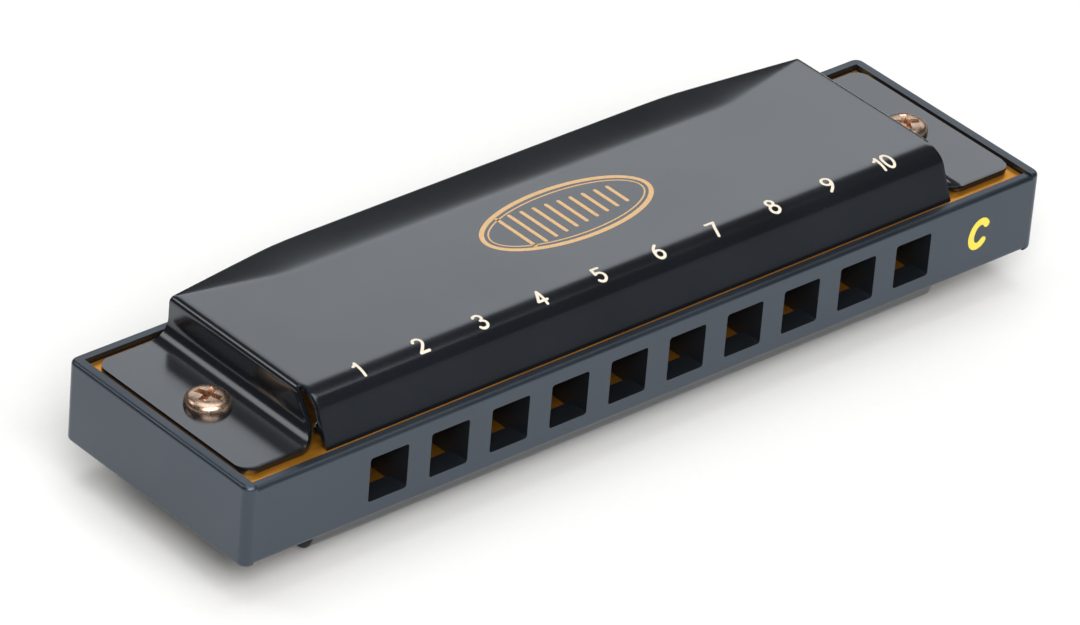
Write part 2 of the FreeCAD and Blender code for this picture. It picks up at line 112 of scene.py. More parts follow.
def length(label, use, millimetres):
    """A length property whose default is given in millimetres."""
    return FloatProperty(name=label, description=use, default=millimetres * MM, min=0,
                         precision=5, subtype="DISTANCE", unit="LENGTH")


# ---------------------------------------------------------------- what a user would change


class CoverSizes(bpy.types.PropertyGroup):
    """Bends and edges of the folded covers."""
    sheet: length("Sheet", "Thickness of the steel sheet", 0.6)
    shoulder: length("Shoulder radius", "Mean outer radius of the bend above the front slope", 3.0)
    end_edge: length("End edge radius", "Outer radius of the bend above each end wall", 0.65)
    foot_bend: length("Foot bend radius", "Radius of the bend between end wall and flange", 2.0)
    rear_drop: length("Rear drop", "How far the rear edge is rolled down", 0.97)
    cut_edge: length("Cut edge radius", "Rounding of the painted cut edges", 0.13)


class CombSizes(bpy.types.PropertyGroup):
    """Edges of the moulded comb."""
    edge: length("Edge radius", "Rounding that the mould leaves on the comb's edges", 0.14)


class MarkSizes(bpy.types.PropertyGroup):
    """Printed marks."""
    numeral: length("Numeral height", "Height of the hole numbers", 2.05)
    pen: length("Numeral line", "Line width of the hole numbers", 0.31)
    key: length("Key letter height", "Height of the key letter on the comb", 3.45)
    badge_length: length("Badge length", "Length of the oval on the upper cover", 21)
    badge_width: length("Badge width", "Width of the oval on the upper cover", 9.4)
    badge_bars: IntProperty(name="Badge bars", description="Bars inside the oval", default=10,
                            min=3, max=20)
    ink: length("Ink height", "How far the ink stands above the paint", 0.01)


class Finishes(bpy.types.PropertyGroup):
    """Colours of the paints, plastics, metals and inks."""
    enamel: shade("Enamel", "Baked enamel of the covers", "121418")
    plastic: shade("Comb plastic", "Moulded plastic of the comb", "121417")
    plate_brass: shade("Plate brass", "Rolled brass of the reed plates", "D9932F")
    reed_brass: shade("Reed brass", "Ground brass of the reeds", "E3B25C")
    rivet_brass: shade("Rivet brass", "Turned brass of the rivets", "DDB46A")
    zinc: shade("Zinc", "Bright zinc of the plate screws", "B9BBB8")
    bronze: shade("Bronze plating", "Plating of the cover screws", "D4B59E")
    numeral_ink: shade("Numeral ink", "Printing ink of the hole numbers", "E9DCC8")
    badge_ink: shade("Badge ink", "Printing ink of the oval", "D8AF7C")
    key_ink: shade("Key ink", "Pad-printed ink of the key letter", "F4E04A")
    table: shade("Table", "Paper that the harmonica stands on", "F1F0EE")


class View(bpy.types.PropertyGroup):
    """Where the camera stands."""
    azimuth: FloatProperty(name="Azimuth", description="Bearing that the camera looks along",
                           default=math.radians(43.15), subtype="ANGLE", unit="ROTATION")
    elevation: FloatProperty(name="Elevation", description="Height of the camera's bearing",
                             default=math.radians(32.05), subtype="ANGLE", unit="ROTATION")
    roll: FloatProperty(name="Roll", description="Tilt of the camera about its own line",
                        default=math.radians(4.87), subtype="ANGLE", unit="ROTATION")
    distance: length("Distance", "From the camera to the comb's middle", 740.8)
    lens: FloatProperty(name="Lens", description="Focal length in millimetres", default=253.3,
                        min=1, subtype="DISTANCE_CAMERA")


# ---------------------------------------------------------------- materials


def add(tree, kind, inputs=None, **settings):
    """Adds one node with its settings; inputs holds a value or another node's socket each."""
    node = tree.nodes.new(kind)
    for key, value in settings.items():
        setattr(node, key, value)
    for socket, value in (inputs or {}).items():
        if isinstance(value, bpy.types.NodeSocket):
            tree.links.new(value, node.inputs[socket])
        else:
            node.inputs[socket].default_value = value
    return node


def new_material(name, **constants):
    """A material with one Principled shader, whose constant values sit on its own sockets."""
    material = bpy.data.materials.new(name)
    material.use_nodes = True
    tree = material.node_tree
    shader = tree.nodes["Principled BSDF"]
    for socket, value in constants.items():
        shader.inputs[socket.replace("_", " ")].default_value = value
    place = add(tree, "ShaderNodeTexCoord").outputs["Object"]
    return material, tree, shader, place


def grain(tree, place, size, detail=2.0, stretch=(1, 1, 1)):
    """Noise whose lumps are about size millimetres wide; stretch makes them longer along an
    axis."""
    mapping = add(tree, "ShaderNodeMapping",
                  {"Vector": place, "Scale": tuple(1 / s for s in stretch)})
    noise = add(tree, "ShaderNodeTexNoise", {"Vector": mapping.outputs["Vector"],
                                             "Scale": 1 / (size * MM), "Detail": detail})
    return noise.outputs["Fac"]


def spread(tree, value, low, high, to_low, to_high):
    """Takes a value from one range to another and holds it there."""
    ranged = add(tree, "ShaderNodeMapRange", {"Value": value, "From Min": low, "From Max": high,
                                              "To Min": to_low, "To Max": to_high})
    return ranged.outputs["Result"]


def blend_colours(tree, factor, first, second):
    """The first colour where factor is nought, the second where it is one."""
    mix = add(tree, "ShaderNodeMix", data_type="RGBA")
    for index, value in ((0, factor), (6, first), (7, second)):
        if isinstance(value, bpy.types.NodeSocket):
            tree.links.new(value, mix.inputs[index])
        else:
            mix.inputs[index].default_value = value
    return mix.outputs[2]


def relief(tree, height, rise, strength=1.0, under=None):
    """A bump as high as rise millimetres, laid over another one if it is given."""
    inputs = {"Height": height, "Distance": rise * MM, "Strength": strength}
    if under is not None:
        inputs["Normal"] = under
    return add(tree, "ShaderNodeBump", inputs).outputs["Normal"]


def darker(tone, share):
    """A colour with its light scaled by share."""
    return (*(min(1.0, part * share) for part in tone[:3]), 1.0)


def enamel(name, tone, rough):
    """Black baked enamel, sprayed on steel sheet. It shows a satin black that mirrors lamps
    with a soft edge: faint orange peel 1.3 mm wide, a slow change of gloss where it has been
    handled, hairline scratches, and dust specks, drawn twice as large as life so that they
    show."""
    material, tree, shader, place = new_material(name, IOR=1.5, Coat_Weight=0.5,
                                                 Coat_Roughness=0.16,
                                                 Specular_Tint=colour("E9F3FF"))
    handled = grain(tree, place, 14, 3)
    gloss = spread(tree, handled, 0.35, 0.65, rough - 0.015, rough + 0.02)
    hairs = spread(tree, grain(tree, place, 0.07, 1, (90, 1, 1)), 0.7, 0.8, 0, 0.5)
    specks = spread(tree, grain(tree, place, 0.35, 4), 0.75, 0.78, 0, 1)
    marks = add(tree, "ShaderNodeMath", {0: hairs, 1: specks}, operation="MAXIMUM").outputs[0]
    rougher = add(tree, "ShaderNodeMath", {0: marks, 1: 0.06, 2: gloss},
                  operation="MULTIPLY_ADD").outputs[0]
    tree.links.new(rougher, shader.inputs["Roughness"])
    cloudy = blend_colours(tree, spread(tree, handled, 0.3, 0.7, 0, 1), darker(tone, 0.85),
                           darker(tone, 1.2))
    dusty = spread(tree, specks, 0, 1, 0, 0.12)
    tree.links.new(blend_colours(tree, dusty, cloudy, colour("8A8A86")),
                   shader.inputs["Base Color"])
    peel = relief(tree, grain(tree, place, 1.3, 1), 0.012, 0.2)
    tree.links.new(relief(tree, hairs, 0.001, 0.15, peel), shader.inputs["Normal"])
    return material


def moulded_abs(name, tone, rough):
    """Black ABS, injection moulded in a fine spark-eroded mould. It shows a deep black whose
    satin skin mirrors the table as slate, with a 0.22 mm grain, faint flow clouds and short
    scuffs from handling."""
    material, tree, shader, place = new_material(name, IOR=1.54, Specular_IOR_Level=1.0,
                                                 Specular_Tint=colour("D2E6FF"))
    flow = grain(tree, place, 9, 3, (2.5, 1, 1))
    spark = grain(tree, place, 0.22, 2)
    scuffs = spread(tree, grain(tree, place, 0.3, 2, (14, 1, 3)), 0.67, 0.75, 0, 1)
    gloss = spread(tree, flow, 0.35, 0.65, rough - 0.03, rough + 0.04)
    scuffed = add(tree, "ShaderNodeMath", {0: scuffs, 1: 0.1, 2: gloss},
                  operation="MULTIPLY_ADD").outputs[0]
    tree.links.new(scuffed, shader.inputs["Roughness"])
    cloudy = blend_colours(tree, spread(tree, flow, 0.3, 0.7, 0, 1), darker(tone, 0.88),
                           darker(tone, 1.12))
    tree.links.new(blend_colours(tree, spread(tree, scuffs, 0, 1, 0, 0.25), cloudy,
                                 darker(tone, 3.0)), shader.inputs["Base Color"])
    tree.links.new(relief(tree, spark, 0.006, 0.45), shader.inputs["Normal"])
    return material


def worked_brass(name, tone, rough, line, along, tarnish=0.35):
    """Brass that has been rolled or ground one way. It shows a warm metal streaked along the
    work in lines about line millimetres wide, with brown tarnish in slow patches. A thin dull
    film keeps it a little short of fully metallic."""
    material, tree, shader, place = new_material(name, Metallic=0.85)
    streaks = grain(tree, place, line, 2, along)
    patches = grain(tree, place, 6, 4)
    toned = blend_colours(tree, spread(tree, streaks, 0.3, 0.7, 0, 1), darker(tone, 0.82),
                          darker(tone, 1.08))
    dull = spread(tree, patches, 0.45, 0.75, 0, tarnish)
    brown = (tone[0] * 0.55, tone[1] * 0.42, tone[2] * 0.3, 1.0)
    tree.links.new(blend_colours(tree, dull, toned, brown), shader.inputs["Base Color"])
    tree.links.new(spread(tree, patches, 0.3, 0.75, rough - 0.05, rough + 0.13),
                   shader.inputs["Roughness"])
    tree.links.new(relief(tree, streaks, 0.004, 0.6), shader.inputs["Normal"])
    return material


def plated_steel(name, tone, rough, worn):
    """A steel screw with a thin metal plating, tumbled in a barrel. It shows a soft metal with
    fine tumbling dents 0.25 mm wide and patches where the plating is thinner."""
    material, tree, shader, place = new_material(name, Metallic=1.0)
    dents = grain(tree, place, 0.25, 2)
    patches = grain(tree, place, 1.6, 3)
    thin = spread(tree, patches, 0.42, 0.68, 0, 1)
    tree.links.new(blend_colours(tree, thin, darker(tone, 0.9), worn),
                   shader.inputs["Base Color"])
    tree.links.new(spread(tree, dents, 0.3, 0.7, rough - 0.06, rough + 0.08),
                   shader.inputs["Roughness"])
    tree.links.new(relief(tree, dents, 0.003, 0.4), shader.inputs["Normal"])
    return material


def printed_ink(name, tone, rough):
    """Ink that was screen or pad printed on the paint. It shows a flat opaque tone with the
    screen's 0.18 mm mesh, drawn twice as coarse as it is so that it shows, and pinholes."""
    material, tree, shader, place = new_material(name, IOR=1.48)
    mesh_marks = grain(tree, place, 0.18, 2)
    thin = spread(tree, grain(tree, place, 0.35, 3), 0.62, 0.75, 0, 0.45)
    toned = blend_colours(tree, spread(tree, mesh_marks, 0.3, 0.7, 0, 1), darker(tone, 0.86),
                          darker(tone, 1.05))
    tree.links.new(blend_colours(tree, thin, toned, darker(tone, 0.45)),
                   shader.inputs["Base Color"])
    tree.links.new(spread(tree, mesh_marks, 0.3, 0.7, rough - 0.05, rough + 0.1),
                   shader.inputs["Roughness"])
    tree.links.new(relief(tree, mesh_marks, 0.004, 0.5), shader.inputs["Normal"])
    return material


def studio_paper(name, tone):
    """Matt white background paper. It shows a plain pale sheet with a fibre grain of 0.8 mm."""
    material, tree, shader, place = new_material(name, IOR=1.45, Specular_IOR_Level=0.2)
    fibres = grain(tree, place, 0.8, 4)
    tree.links.new(blend_colours(tree, spread(tree, fibres, 0.3, 0.7, 0, 1), darker(tone, 0.985),
                                 tone), shader.inputs["Base Color"])
    tree.links.new(spread(tree, fibres, 0.3, 0.7, 0.75, 0.9), shader.inputs["Roughness"])
    tree.links.new(relief(tree, fibres, 0.01, 0.2), shader.inputs["Normal"])
    return material


# ---------------------------------------------------------------- meshes


def grid_faces(rows, columns, start=0, closed=False):
    """Quads between the points of a grid that is stored row by row; closed joins each row's
    last point to its first."""
    index = start + np.arange(rows * columns).reshape(rows, columns)
    if closed:
        index = np.hstack([index, index[:, :1]])
    corners = (index[:-1, :-1], index[:-1, 1:], index[1:, 1:], index[1:, :-1])
    return np.stack(corners, axis=-1).reshape(-1, 4)


def closed_tube(rings):
    """Faces of a tube through rings of points, with its two ends closed."""
    count, size = rings.shape[:2]
    faces = grid_faces(count, size, closed=True).tolist()
    faces.append(list(range(size - 1, -1, -1)))
    faces.append(list(range((count - 1) * size, count * size)))
    return faces


def new_piece(name, points, faces, *materials):
    """A smooth mesh object from points in millimetres."""
    mesh = bpy.data.meshes.new(name)
    mesh.from_pydata((np.asarray(points) * MM).tolist(), [], [list(face) for face in faces])
    mesh.shade_smooth()
    piece = bpy.data.objects.new(name, mesh)
    bpy.context.scene.collection.objects.link(piece)
    for material in materials:
        mesh.materials.append(material)
    return piece


def merge(piece, gap=1e-6, flat=None):
    """Welds the points that are less than gap metres apart; flat dissolves the edges between
    faces whose angle is less than that many degrees."""
    shape = bmesh.new()
    shape.from_mesh(piece.data)
    bmesh.ops.remove_doubles(shape, verts=shape.verts, dist=gap)
    bmesh.ops.dissolve_degenerate(shape, edges=shape.edges, dist=1e-8)
    if flat is not None:
        bmesh.ops.dissolve_limit(shape, angle_limit=math.radians(flat), verts=shape.verts,
                                 edges=shape.edges)
    shape.to_mesh(piece.data)
    shape.free()


def modify(piece, kind, **settings):
    """Adds a modifier with its settings."""
    modifier = piece.modifiers.new(kind.title(), kind)
    for key, value in settings.items():
        setattr(modifier, key, value)


def face_outwards(piece, sharp):
    """Turns every face of a closed piece outwards and makes its edges sharp above an angle in
    degrees."""
    shape = bmesh.new()
    shape.from_mesh(piece.data)
    bmesh.ops.recalc_face_normals(shape, faces=shape.faces)
    shape.to_mesh(piece.data)
    shape.free()
    piece.data.set_sharp_from_angle(angle=math.radians(sharp))


def settle(piece):
    """Makes the modified shape of a piece its own mesh."""
    depsgraph = bpy.context.evaluated_depsgraph_get()
    shape = bpy.data.meshes.new_from_object(piece.evaluated_get(depsgraph))
    piece.modifiers.clear()
    piece.data = shape
    shape.name = piece.name


def lower_twin(points):
    """Points turned half a turn about the comb's length: x and height change sign."""
    return points * np.array([-1, 1, -1])


def seat(piece, node):
    """Fixes a piece to the casing in place of a CAD node, whose look it hides."""
    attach(piece, CASING)
    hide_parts(node)


# ---------------------------------------------------------------- covers


WALL = 40.6            # outer face of an end wall, from the middle
SLOPE_EXTRA = 0.15     # how far the slope reaches past the top's last column at each end
FLANGE_END = COVER_HIGH[0]
FLANGE_FRONT = 11.2
FLANGE_CORNER = 1.5
INK_RISE = 0.01        # printed ink, so that its face is level with the highest CAD face
COVER_TOP = COVER_HIGH[2] - MIDDLE - INK_RISE
PLATE_FACE = COVER_LOW[2] - MIDDLE
FLANGE_FACE = PLATE_FACE + 0.6   # one thickness of sheet above the reed plate
FOOT_FRONT = COVER_LOW[1]
SHOULDER_LINE = -9.84  # where the slope's line and the top's line meet
REAR = COVER_HIGH[1]
ROLL_START = 8.3       # where the top starts to roll down to the rear edge
ROLL_POWER = 1.35      # how fast the roll's fall grows
CREASE_TURN = (28.5, 0.26, 0.8)   # where, how steeply and how softly the roll's start turns
REAR_TURN = (26.3, 0.22, 1.5)     # the same for the rear edge
SLIT_RUN = 5.8         # length of sheet, from the top, along which the slit runs forwards
BEND_STEPS = 160
COLUMNS = 181
COVER_SCREW_X = 44.9
SCREW_HOLE = 1.2       # radius of a cover screw's hole
NUMERAL_LINE = -8.43   # where the middles of the hole numbers stand


def soft_turn(distance, start, slope, width):
    """A line that is flat before start and climbs by slope after it, with a turn as soft as
    width: slope times width times the logarithm of one plus the exponential of the overrun."""
    return slope * width * np.log1p(np.exp((np.abs(distance) - start) / width))


def shoulder_path(bend):
    """The bend from the slope to the flat top as points (y, height) and headings. The heading
    dies away as the 1.6th power of the way still to go, so that the sheet runs softly into the
    top, and the path is as long as an arc of radius bend."""
    run, rise = SHOULDER_LINE - FOOT_FRONT, COVER_TOP - PLATE_FACE
    turn = math.atan2(rise, run)
    heading = turn * (1 - np.linspace(0, 1, BEND_STEPS + 1)) ** 1.6
    middle = (heading[1:] + heading[:-1]) / 2
    steps = np.stack([np.cos(middle), np.sin(middle)], axis=-1) * bend * turn / BEND_STEPS
    path = np.concatenate([[[0, 0]], np.cumsum(steps, axis=0)])
    height = path[-1, 1]
    start = (SHOULDER_LINE - height * run / rise, COVER_TOP - height)
    return path + start, heading


def cover_surface(bend, edge, foot_bend, drop):
    """Outer face of an upper cover about the comb's middle plane: points and faces.

    The channel is a profile carried along x: a straight slope from the foot, the bend of
    shoulder_path, a flat top, and a roll whose fall grows as the way to the rear edge to the
    power ROLL_POWER. Both its start and its rear edge turn inwards near the ends, by soft_turn.
    Each end is the top's last column carried down another profile: an arc of radius edge, a
    straight wall, a hollow arc of radius foot_bend and a flat flange, whose front edge follows
    the slit that frees the end wall from the slope."""
    path, _ = shoulder_path(bend)
    shoulder, flat_start = path[:-1:8], path[-1, 0]
    slope_rows, bend_rows = 12, len(shoulder)
    climb = np.linspace(0, 1, slope_rows, endpoint=False)[:, None]
    slope = np.array([FOOT_FRONT, PLATE_FACE]) * (1 - climb) + shoulder[0] * climb
    across = np.linspace(-1, 1, COLUMNS)
    freed = np.concatenate([np.zeros(slope_rows), np.linspace(0, 1, bend_rows, endpoint=False)])
    half = WALL - edge + SLOPE_EXTRA * (1 - freed)
    front_x = half[:, None] * across
    front_y, front_z = np.concatenate([slope, shoulder]).T
    front = np.stack([front_x, np.broadcast_to(front_y[:, None], front_x.shape),
                      np.broadcast_to(front_z[:, None], front_x.shape)], axis=-1)
    x = (WALL - edge) * across
    crease = ROLL_START + soft_turn(x, *CREASE_TURN)
    rear = REAR - soft_turn(x, *REAR_TURN)
    level = np.linspace(0, 1, 44, endpoint=False)[:, None]
    level_y = flat_start + level * (crease - flat_start)
    way = np.linspace(0, 1, 20)[:, None]
    roll_y = crease + way * (rear - crease)
    fall = drop * (rear - crease) / (REAR - ROLL_START) * way ** ROLL_POWER
    top_y = np.concatenate([level_y, roll_y])
    top_z = COVER_TOP - np.concatenate([np.zeros_like(level_y), fall])
    top = np.stack([np.broadcast_to(x, top_y.shape), top_y, top_z], axis=-1)
    channel = np.concatenate([front, top])
    points = [channel.reshape(-1, 3)]
    faces = [grid_faces(*channel.shape[:2])]

    rounded = np.linspace(0, math.pi / 2, 8)
    hollow = np.linspace(0, math.pi / 2, 16)
    wall_foot = FLANGE_FACE + foot_bend
    straight = np.linspace(COVER_TOP - edge, wall_foot, 8)[1:-1]
    corner = np.linspace(0, math.pi / 2, 10)
    flat = np.linspace(WALL + foot_bend, FLANGE_END - FLANGE_CORNER, 14)[1:-1]
    profile_x = np.concatenate([WALL - edge + edge * np.sin(rounded),
                                np.full(len(straight), WALL),
                                WALL + foot_bend - foot_bend * np.cos(hollow), flat,
                                FLANGE_END - FLANGE_CORNER * (1 - np.sin(corner))])
    profile_z = np.concatenate([COVER_TOP - edge + edge * np.cos(rounded), straight,
                                wall_foot - foot_bend * np.sin(hollow),
                                np.full(len(flat) + len(corner), FLANGE_FACE)])
    steps = np.hypot(np.diff(profile_x), np.diff(profile_z))
    along = np.concatenate([[0], np.cumsum(steps)])
    cut = np.clip(along / SLIT_RUN, 0, 1) ** 1.2
    cut = cut * cut * (3 - 2 * cut)
    rounding = np.clip((profile_x - FLANGE_END + FLANGE_CORNER) / FLANGE_CORNER, 0, 1)
    nip = FLANGE_CORNER * (1 - np.sqrt(1 - rounding ** 2))
    front_line = flat_start - (FLANGE_FRONT + flat_start) * cut + nip
    edge_y, edge_z = top[:, -1, 1], top[:, -1, 2]
    share = (edge_y - edge_y[0]) / (edge_y[-1] - edge_y[0])
    side_y = front_line[:, None] + share * (edge_y[-1] - nip - front_line)[:, None]
    fade = np.clip(1 - along / (edge * 1.5), 0, 1)[:, None]
    side_z = profile_z[:, None] - (COVER_TOP - edge_z) * fade
    for side in (-1, 1):
        end = np.stack([np.broadcast_to(side * profile_x[:, None], side_y.shape), side_y,
                        side_z], axis=-1)
        quads = grid_faces(*end.shape[:2], start=sum(len(p) for p in points))
        faces.append(quads if side < 0 else quads[:, ::-1])
        points.append(end.reshape(-1, 3))
    return np.concatenate(points), np.concatenate(faces)


def drill(piece, x, radius, low, high):
    """Cuts an upright round hole through a closed piece."""
    angle = np.linspace(0, 2 * math.pi, 48, endpoint=False)
    ring = np.stack([x + radius * np.cos(angle), radius * np.sin(angle)], axis=-1)
    rings = np.stack([np.column_stack([ring, np.full(48, z)]) for z in (low, high)])
    mesh = bpy.data.meshes.new("drill")
    mesh.from_pydata((rings.reshape(-1, 3) * MM).tolist(), [], closed_tube(rings))
    cutter = bpy.data.objects.new("drill", mesh)
    bpy.context.scene.collection.objects.link(cutter)
    modify(piece, "BOOLEAN", operation="DIFFERENCE", object=cutter, solver="EXACT")
    settle(piece)
    bpy.data.objects.remove(cutter)


class HARMONICA_OT_covers(bpy.types.Operator):
    """Folds both covers out of sheet, enamels them and drills their screw holes"""
    bl_idname = "harmonica.covers"
    bl_label = "Covers"

    def execute(self, context):
        sizes = context.scene.harmonica_covers
        tone = tuple(context.scene.harmonica_finishes.enamel)
        face = enamel("baked_black_enamel", tone, 0.2)
        # The cut edges take enamel twice as light and a little rougher. This is partly paint worn
        # thin and partly a painted highlight line along each edge.
        worn = enamel("enamel_thinned_and_painted_highlight_on_cut_edges", darker(tone, 2.0), 0.27)
        shape, faces = cover_surface(sizes.shoulder / MM, sizes.end_edge / MM,
                                     sizes.foot_bend / MM, sizes.rear_drop / MM)
        for name, points in (("upper", shape), ("lower", lower_twin(shape))):
            piece = new_piece(f"{name}_cover_sheet", points + [0, 0, MIDDLE], faces, face, worn)
            merge(piece)
            modify(piece, "SOLIDIFY", thickness=sizes.sheet, offset=-1, use_even_offset=True,
                   use_quality_normals=True)
            # The bevel's faces take the second material: the lighter edge enamel with its painted
            # highlight.
            modify(piece, "BEVEL", width=sizes.cut_edge, segments=3, limit_method="ANGLE",
                   angle_limit=math.radians(50), material=1)
            settle(piece)
            for side in (-1, 1):
                low, high = MIDDLE - COVER_TOP - 1, MIDDLE + COVER_TOP + 1
                drill(piece, side * COVER_SCREW_X, SCREW_HOLE, low, high)
            modify(piece, "WEIGHTED_NORMAL", weight=60)
            settle(piece)
            seat(piece, f"{name}_cover")
        return {"FINISHED"}


# ---------------------------------------------------------------- comb and reed plates


class HARMONICA_OT_comb(bpy.types.Operator):
    """Rounds the edges of the moulded comb and gives it its plastic"""
    bl_idname = "harmonica.comb"
    bl_label = "Comb"

    def execute(self, context):
        tone = tuple(context.scene.harmonica_finishes.plastic)
        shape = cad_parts["comb"].data.copy()
        shape.materials.clear()
        piece = bpy.data.objects.new("comb_moulding", shape)
        context.scene.collection.objects.link(piece)
        shape.materials.append(moulded_abs("satin_moulded_abs", tone, 0.36))
        # The bevelled edges take plastic a quarter lighter and smoother. This is partly polish
        # from handling and partly a painted highlight line along each edge.
        shape.materials.append(moulded_abs("abs_polished_and_painted_highlight_on_edges", darker(tone, 1.25), 0.28))
        merge(piece, flat=0.5)
        # The bevel's faces take the second material: the lighter edge plastic with its painted
        # highlight.
        modify(piece, "BEVEL", width=context.scene.harmonica_comb.edge, segments=3,
               limit_method="ANGLE", angle_limit=math.radians(40), material=1)
        shape.shade_smooth()
        modify(piece, "WEIGHTED_NORMAL", weight=100)
        settle(piece)
        seat(piece, "comb")
        return {"FINISHED"}


class HARMONICA_OT_plates(bpy.types.Operator):
    """Gives the two reed plates their rolled brass"""
    bl_idname = "harmonica.plates"
    bl_label = "Reed plates"

    def execute(self, context):
        tone = tuple(context.scene.harmonica_finishes.plate_brass)
        brass = worked_brass("rolled_plate_brass", tone, 0.34, 0.15, (40, 1, 1))
        for name in ("blow_reed_plate", "draw_reed_plate"):
            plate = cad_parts[name]
            plate.data.materials.clear()
            plate.data.materials.append(brass)
        return {"FINISHED"}


# ---------------------------------------------------------------- reeds and their fasteners


NECK = 0.3             # length over which a reed's foot narrows to its tongue
REED_CHAMFER = 0.035
TIP_NIP = 0.25         # length of the nipped corners at a reed's tip


def reed_strip(root, tip, end, column, face, wide, narrow, thick, thin):
    """A reed as one strip: a chamfered rectangle carried from the end of its foot to its tip.

    Half the width goes from wide to narrow, and the thickness from thick to thin, over the
    neck before the root; the tongue is scraped thinner by up to a third around a sixth of its
    length, and its tip and the foot's end are nipped at the corners."""
    foot, tongue, whole = abs(root - end), abs(tip - root), abs(tip - end)
    way = np.concatenate([np.linspace(0, NECK, 5), np.linspace(0.5, foot - 0.35, 5),
                          foot + np.linspace(-NECK, 0, 7),
                          foot + np.linspace(NECK, tongue - NECK, 44),
                          whole + np.linspace(-TIP_NIP, 0, 5)])
    y = end + math.copysign(1, tip - end) * way
    neck = np.clip((way - foot + NECK) / NECK, 0, 1)
    neck = neck * neck * (3 - 2 * neck)
    nip = 0.3 * (1 - np.clip(way / NECK, 0, 1)) ** 2
    nip += 0.12 * (1 - np.clip((whole - way) / TIP_NIP, 0, 1)) ** 2
    half = wide + (narrow - wide) * neck - nip
    scraped = 0.33 * np.exp(-((way - foot - 0.16 * tongue) / (0.1 * tongue)) ** 2)
    deep = (thick + (thin - thick) * neck) * (1 - scraped * neck)
    cut = REED_CHAMFER
    top, upper = np.zeros_like(deep), np.full_like(deep, cut)
    corners = [(-1, cut, top), (-1, 0, upper), (-1, 0, deep - cut), (-1, cut, deep),
               (1, cut, deep), (1, 0, deep - cut), (1, 0, upper), (1, cut, top)]
    rows = [np.stack([column + side * (half - inset), y, face - depth], axis=-1)
            for side, inset, depth in corners]
    return np.stack(rows, axis=1)


class HARMONICA_OT_reeds(bpy.types.Operator):
    """Makes each reed one strip of brass, from the end of its foot to its tip"""
    bl_idname = "harmonica.reeds"
    bl_label = "Reeds"

    def execute(self, context):
        tone = tuple(context.scene.harmonica_finishes.reed_brass)
        brass = worked_brass("ground_reed_brass", tone, 0.3, 0.07, (1, 30, 1), 0.2)
        for kind in ("blow", "draw"):
            for hole in HOLES:
                reed, foot = f"{kind}_reed_{hole}", f"{kind}_reed_foot_{hole}"
                low, high = node_box(reed)
                foot_low, foot_high = node_box(foot)
                backwards = foot_low[1] > low[1]
                root = foot_low[1] if backwards else foot_high[1]
                end = foot_high[1] if backwards else foot_low[1]
                tip = low[1] if backwards else high[1]
                x, z = (low[0] + high[0]) / 2, high[2]
                rings = reed_strip(root, tip, end, x, z, (foot_high[0] - foot_low[0]) / 2,
                                   (high[0] - low[0]) / 2, foot_high[2] - foot_low[2],
                                   high[2] - low[2])
                piece = new_piece(f"{kind}_reed_strip_{hole}", rings.reshape(-1, 3),
                                  closed_tube(rings), brass)
                face_outwards(piece, 30)
                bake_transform(piece)
                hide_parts(reed, foot)
        return {"FINISHED"}


PAN_WIDTH, PAN_HEIGHT = 5.5, 2.3   # powers of a pan head's superellipse
PLATE_SCREW = {"head": 1.35, "rise": 0.7, "reach": 3.2, "shank": 0.75, "half": 0.2, "arm": 1.0,
               "depth": 0.3, "bars": 1, "pitch": 0.6}
COVER_SCREW = {"head": 2.35, "rise": 1.12, "reach": 3.9, "shank": 1.1, "half": 0.34,
               "arm": 1.3, "depth": 1.0, "bars": 2, "pitch": 0.8}
RIVET = {"head": 0.9, "shank": 0.5, "tail": 0.75}
PLATE_SCREW_X = 37.9
COVER_HEAD_BOX = 1.3   # height of a cover screw's head in the CAD
DRIVE_TURNS = {"left": 24, "right": 61}   # degrees by which each cover screw was done up


def ray_to_bars(angle, half, reach, bars):
    """How far a ray from the middle runs inside a drive recess: one bar, or two that cross."""
    run, rise = np.abs(np.cos(angle)) + 1e-9, np.abs(np.sin(angle)) + 1e-9
    inside = np.minimum(reach / run, half / rise)
    if bars == 2:
        inside = np.maximum(inside, np.minimum(half / run, reach / rise))
    return inside


def recess_angles(half, reach, bars):
    """Angles for a screw's grid: every corner of the recess, with even steps between."""
    first = math.atan2(half, reach)
    keys = [first, math.pi / 4, math.pi / 2 - first, math.pi / 2] if bars == 2 else [
        first, math.pi / 4, math.pi / 2]
    keys = np.array([0.0] + keys)
    quarter = np.concatenate([np.linspace(a, b, 5, endpoint=False)
                              for a, b in zip(keys[:-1], keys[1:])])
    mirrored = math.pi - quarter[quarter > 0][::-1]
    half_turn = np.concatenate([quarter, [math.pi / 2], mirrored]) if bars == 1 else (
        np.concatenate([quarter, quarter + math.pi / 2]))
    half_turn = np.unique(np.round(half_turn, 9))
    half_turn = half_turn[half_turn < math.pi - 1e-6]
    return np.concatenate([half_turn, half_turn + math.pi])


